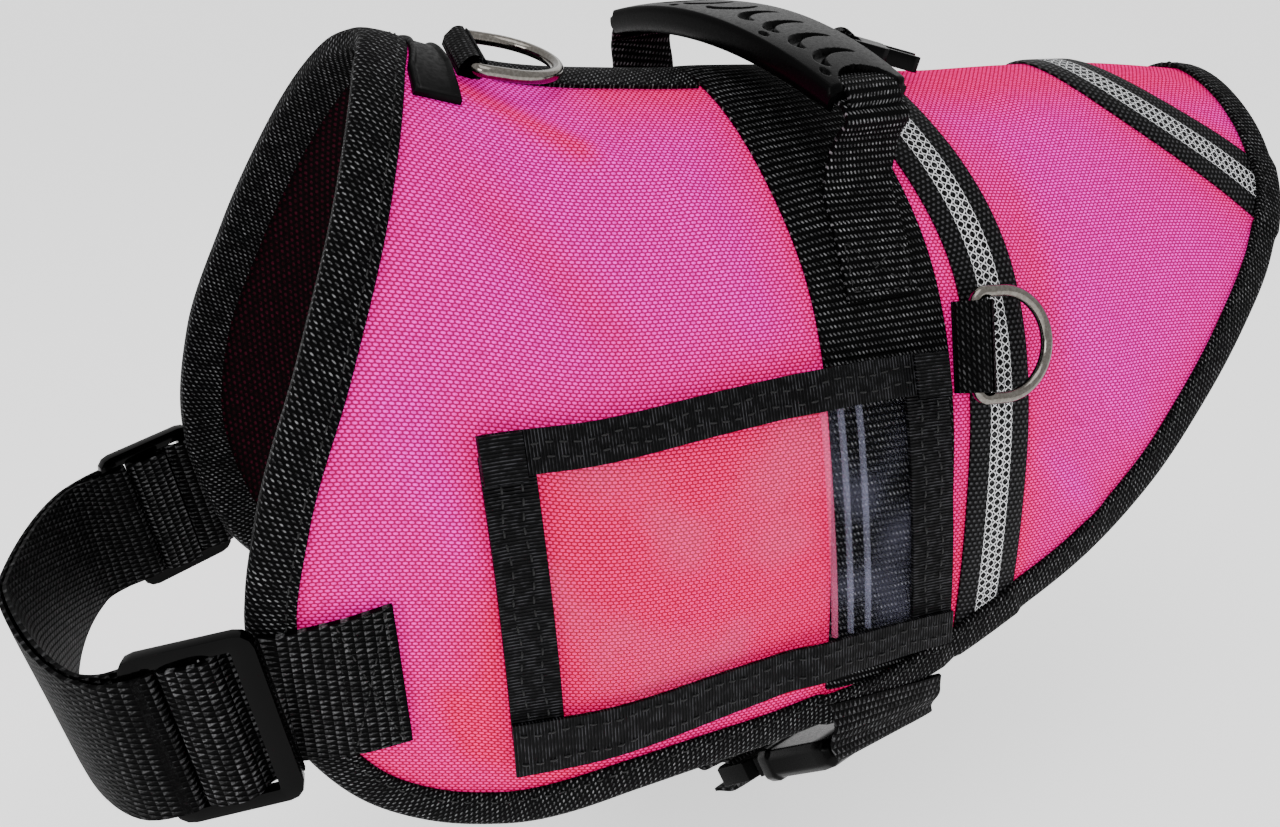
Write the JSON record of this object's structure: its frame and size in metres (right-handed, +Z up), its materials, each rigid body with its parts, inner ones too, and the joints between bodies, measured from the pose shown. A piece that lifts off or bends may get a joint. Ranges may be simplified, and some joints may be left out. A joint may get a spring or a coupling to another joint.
{
  "type": "service dog vest",
  "caption": "Small service dog vest in pink oxford with black webbing, carry handle, clear pocket, rings, chest strap and belly belt, open in its worn shape.",
  "frame": {"origin": "on the lining's inner face at the spine, under the carry handle, where the dog's back holds the vest", "axes": "-Y the way the dog faces (neck end), +Y the tail end, +X the dog's left side, +Z up"},
  "size_m": [0.1515, 0.376, 0.2451],
  "materials": {
    "shell_cloth": "neon pink oxford weave",
    "lining_mesh": "dark red and black knitted mesh",
    "webbing": "coarse black webbing",
    "grosgrain": "fine ribbed black tape",
    "reflective": "black webbing with a silver reflective stripe",
    "plastic": "black moulded plastic",
    "rubber": "black moulded rubber",
    "nickel": "bright nickel plate",
    "clear_sheet": "clear flexible sheet"
  },
  "bodies": {
    "vest": {"shell_panel": "shell_cloth", "lining_panel": "lining_mesh", "edge_binding": "webbing", "spine_tape": "webbing", "girth_band": "webbing", "front_reflective_strap": "reflective", "rear_reflective_strap": "reflective", "rubber_label": "rubber", "pocket_window": "clear_sheet", "pocket_frame_top": "grosgrain", "pocket_frame_bottom": "grosgrain", "pocket_frame_front": "grosgrain", "pocket_frame_rear": "grosgrain", "pocket_zip_ridge_1": "clear_sheet", "pocket_zip_ridge_2": "clear_sheet", "pocket_zip_ridge_3": "clear_sheet", "neck_loop": "webbing", "side_loop": "webbing", "chest_adjuster_left": "plastic", "chest_adjuster_right": "plastic", "chest_tab_left": "webbing", "chest_tab_right": "webbing", "chest_strap": "webbing", "belly_belt_left": "webbing", "belly_belt_right": "webbing", "belly_buckle_female": "plastic", "belly_buckle_male": "plastic", "handle_grip": "plastic", "handle_webbing": "webbing", "small_clip_loop": "webbing"},
    "neck_ring": {"neck_ring": "nickel"},
    "side_ring": {"side_ring": "nickel"},
    "small_clip": {"small_clip": "plastic"}
  },
  "joints": [
    {"name": "neck_ring_swing", "type": "hinge", "parent": "vest", "child": "neck_ring", "pos_m": [0.00661, -0.07892, 0.01226], "axis": [0.9748, -0.137, -0.1758], "range_deg": [0, 150]},
    {"name": "side_ring_swing", "type": "hinge", "parent": "vest", "child": "side_ring", "pos_m": [0.06535, 0.03718, -0.06084], "axis": [0.3064, -0.068, -0.9495], "range_deg": [0, 150]},
    {"name": "small_clip_swing", "type": "hinge", "parent": "vest", "child": "small_clip", "pos_m": [-0.0015, 0.0335, 0.0086], "axis": [0.8986, -0.4388, 0], "range_deg": [0, 60]}
  ]
}
